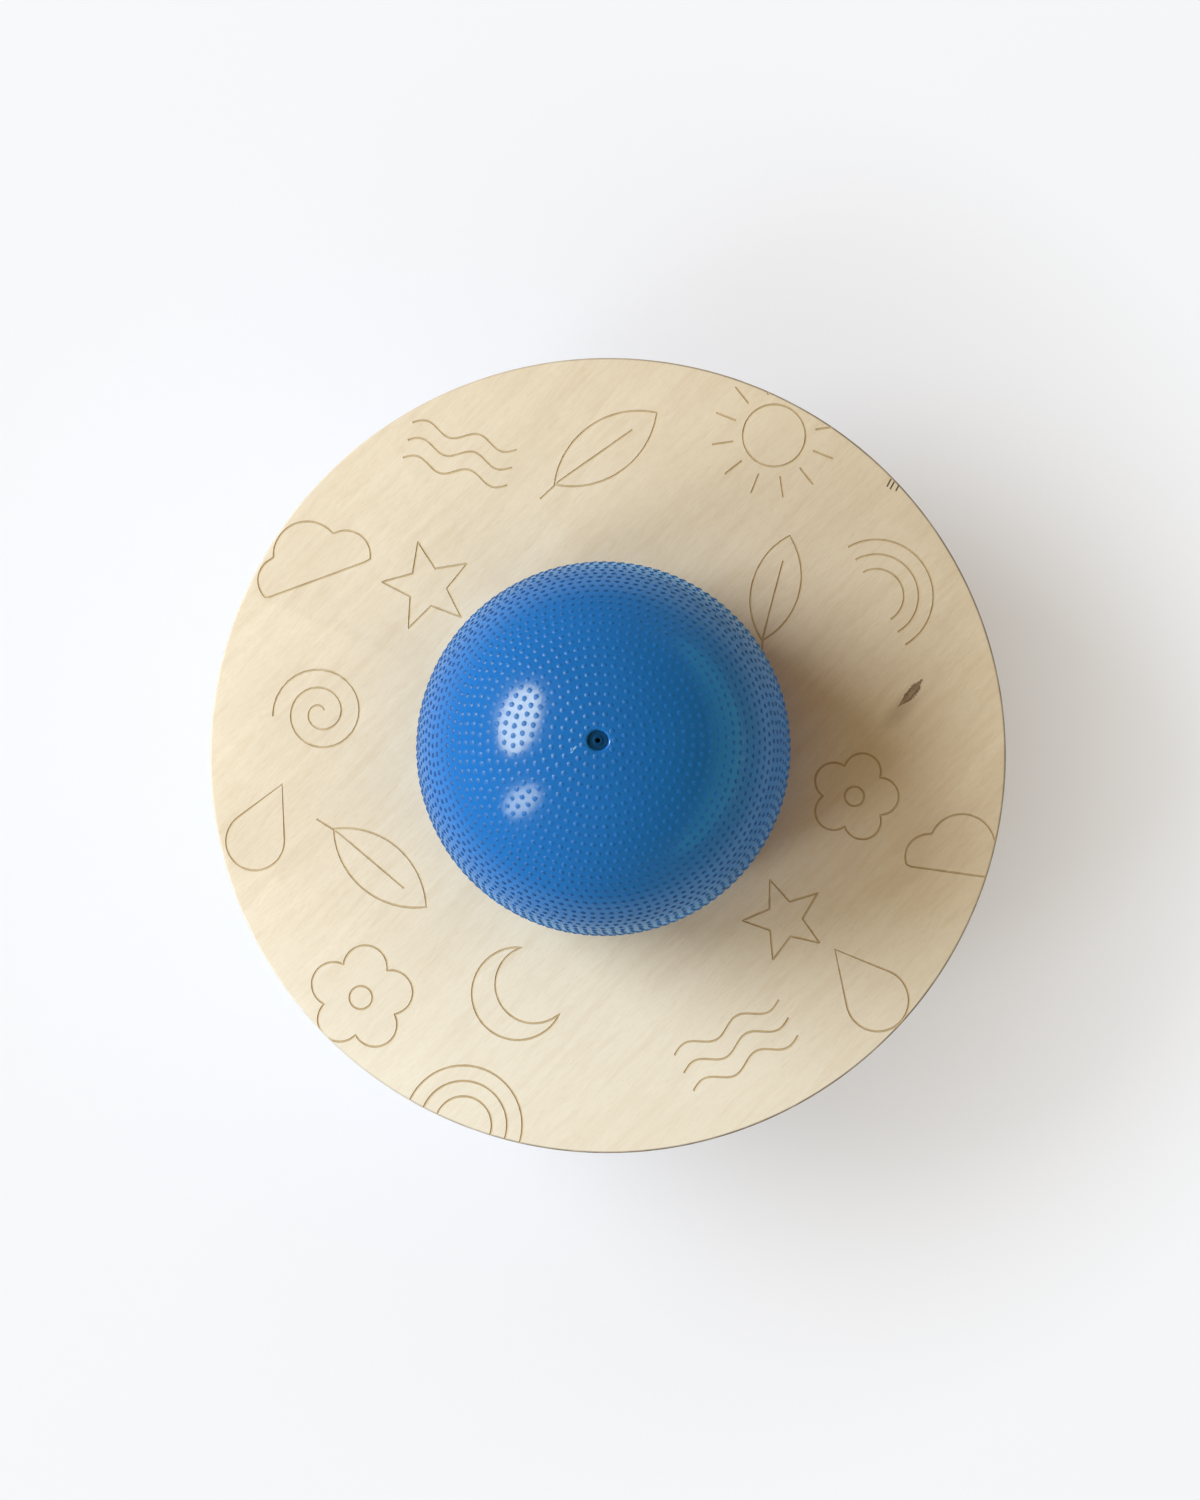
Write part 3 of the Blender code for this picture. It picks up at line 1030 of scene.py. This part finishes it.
# The floor: its colours, size, lift toward white, and where it fades into the room, in metres
FLOOR_PALE = colour(0.83, 0.885, 0.985)
FLOOR_LIT = colour(0.93, 0.94, 0.955)
FLOOR_RADIUS = 6.0
FLOOR_SIDES = 96
FLOOR_DROP = -0.0003
FLOOR_NEAR = 0.20
FLOOR_OPEN = 0.40
FLOOR_NEAR_LIFT = 0.30
FLOOR_OPEN_LIFT = 0.92
FLOOR_FADE_START = 0.55
FLOOR_FADE_END = 0.95

# Each window's place, width and height in metres, brightness, and extra brightness as a mirror image
LARGE_WINDOW = ((-1.7, 0.55, 1.55), 1.54, 1.04, 11.2, 29.0)
SMALL_WINDOW = ((-1.7, -1.15, 1.40), 0.54, 1.18, 10.3, 15.0)
DAYLIGHT = (0.95, 1.0, 1.09)
GLEAM_DISTANCE = 1.02

# The fill card's and the pale wall's place, width and height in metres, brightness and tint
FILL_CARD = ((1.5, -0.1, 0.10), 1.8, 0.24, 13.0, (0.86, 0.97, 0.97))
PALE_WALL = ((1.6, 0.0, 0.46), 4.8, 0.70, 2.0, (0.10, 1.05, 1.60))


def seen_directly(n):
    """On for what the camera sees, straight or mirrored, and off for the light that falls on things."""
    path = n.add("ShaderNodeLightPath").outputs
    mirrored = n.maths("MAXIMUM", path["Is Glossy Ray"], path["Is Transmission Ray"])
    return n.maths("MAXIMUM", path["Is Camera Ray"], mirrored)


def right_side(n, direction):
    """On for directions toward the room's right."""
    return n.remap(n.split(direction)["X"], RIGHT_START, RIGHT_FULL, kind="SMOOTHSTEP")


def add_floor():
    """A pale floor, lifted toward white away from the object, that keeps the object's shadow."""
    deselect()
    bpy.ops.mesh.primitive_circle_add(
        vertices=FLOOR_SIDES,
        radius=FLOOR_RADIUS,
        fill_type="NGON",
        location=(0, 0, FLOOR_DROP),
    )
    ground = bpy.context.object
    ground.name = "floor"
    material, n, shader = start_material("pale_floor", roughness=0.9, specular=0.1)
    place = n.place()
    reach = n.vectors("LENGTH", place)
    beyond = n.mix(right_side(n, n.vectors("NORMALIZE", place)), ROOM_LEFT, ROOM_RIGHT)
    far = n.remap(reach, FLOOR_FADE_START, FLOOR_FADE_END, kind="SMOOTHSTEP")
    n.put(n.mix(far, FLOOR_PALE, beyond), shader.inputs["Base Color"])
    glow = n.add("ShaderNodeEmission")
    n.put(n.mix(far, FLOOR_LIT, beyond), glow.inputs["Color"])
    lift = n.remap(reach, FLOOR_NEAR, FLOOR_OPEN, FLOOR_NEAR_LIFT, FLOOR_OPEN_LIFT)
    lifted = n.add("ShaderNodeMixShader")
    n.put(n.maths("MULTIPLY", seen_directly(n), n.maths("MAXIMUM", lift, far)), lifted.inputs["Fac"])
    n.put(shader.outputs["BSDF"], lifted.inputs[1])
    n.put(glow.outputs["Emission"], lifted.inputs[2])
    n.put(lifted.outputs["Shader"], material.node_tree.nodes["Material Output"].inputs["Surface"])
    ground.data.materials.append(material)


def add_lamp(name, place, width, height, radiance, tint):
    """An oval lamp of a given size and brightness, facing the ball."""
    lamp = bpy.data.lights.new(name, "AREA")
    lamp.shape = "ELLIPSE"
    lamp.size = width
    lamp.size_y = height
    lamp.energy = radiance * pi * (pi / 4) * width * height
    lamp.color = tint
    holder = bpy.data.objects.new(name, lamp)
    holder.location = place
    toward = Vector((0, 0, UPPER_CENTRE)) - Vector(place)
    holder.rotation_euler = toward.to_track_quat("-Z", "Y").to_euler()
    bpy.context.scene.collection.objects.link(holder)
    return holder


def add_gleam(name, place, width, height, shine, tint, glossy):
    """Brightness that shows only as a mirror image, and only on the glossy pieces."""
    gleam = add_lamp(name, place, width, height, shine, tint)
    gleam.visible_diffuse = False
    gleam.light_linking.receiver_collection = glossy


def add_window(name, place, width, height, radiance, shine, glossy):
    """A window's light, and the extra brightness of its mirror image."""
    add_lamp(name, place, width, height, radiance, DAYLIGHT)
    add_gleam(name + "_gleam", Vector(place) * GLEAM_DISTANCE, width, height, shine, DAYLIGHT, glossy)


def add_room():
    """A grey room, paler low on the right, that lights things warmly and more from the windows' side."""
    world = bpy.data.worlds.new("soft_room")
    bpy.context.scene.world = world
    world.use_nodes = True
    n = Nodes(world.node_tree)
    sight = n.add("ShaderNodeTexCoord").outputs["Generated"]
    facing = n.vectors("DOT_PRODUCT", sight, WINDOW_SIDE)
    window_side = n.remap(facing, WINDOW_SIDE_START, WINDOW_SIDE_FULL, kind="SMOOTHSTEP")
    glow = n.mix(window_side, GLOW_AWAY, GLOW_WINDOWS)
    right = right_side(n, sight)
    walls = n.mix(right, ROOM_LEFT, ROOM_HIGH_RIGHT)
    low = n.remap(n.split(sight)["Z"], WALL_HIGH, WALL_LOW, kind="SMOOTHSTEP")
    walls = n.mix(n.maths("MULTIPLY", low, right), walls, ROOM_RIGHT)
    n.put(n.mix(seen_directly(n), glow, walls), world.node_tree.nodes["Background"].inputs["Color"])


def add_lights(skins):
    """Two windows on the left, and on the right a low fill card and the gleam of a pale wall."""
    glossy = bpy.data.collections.new("glossy_skins")
    for skin in skins:
        glossy.objects.link(skin)
    add_window("large_window", *LARGE_WINDOW, glossy)
    add_window("small_window", *SMALL_WINDOW, glossy)
    fill = add_lamp("fill_card", *FILL_CARD)
    fill.visible_glossy = False
    add_gleam("pale_wall_gleam", *PALE_WALL, glossy)
    add_room()


add_camera()
handled = handled_skin_group()
skins = build_ball(ball_vinyl_material(handled))
build_valve(valve_rubber_material(handled))
build_deck()
add_floor()
add_lights(skins)
bpy.context.scene.view_settings.view_transform = "Standard"
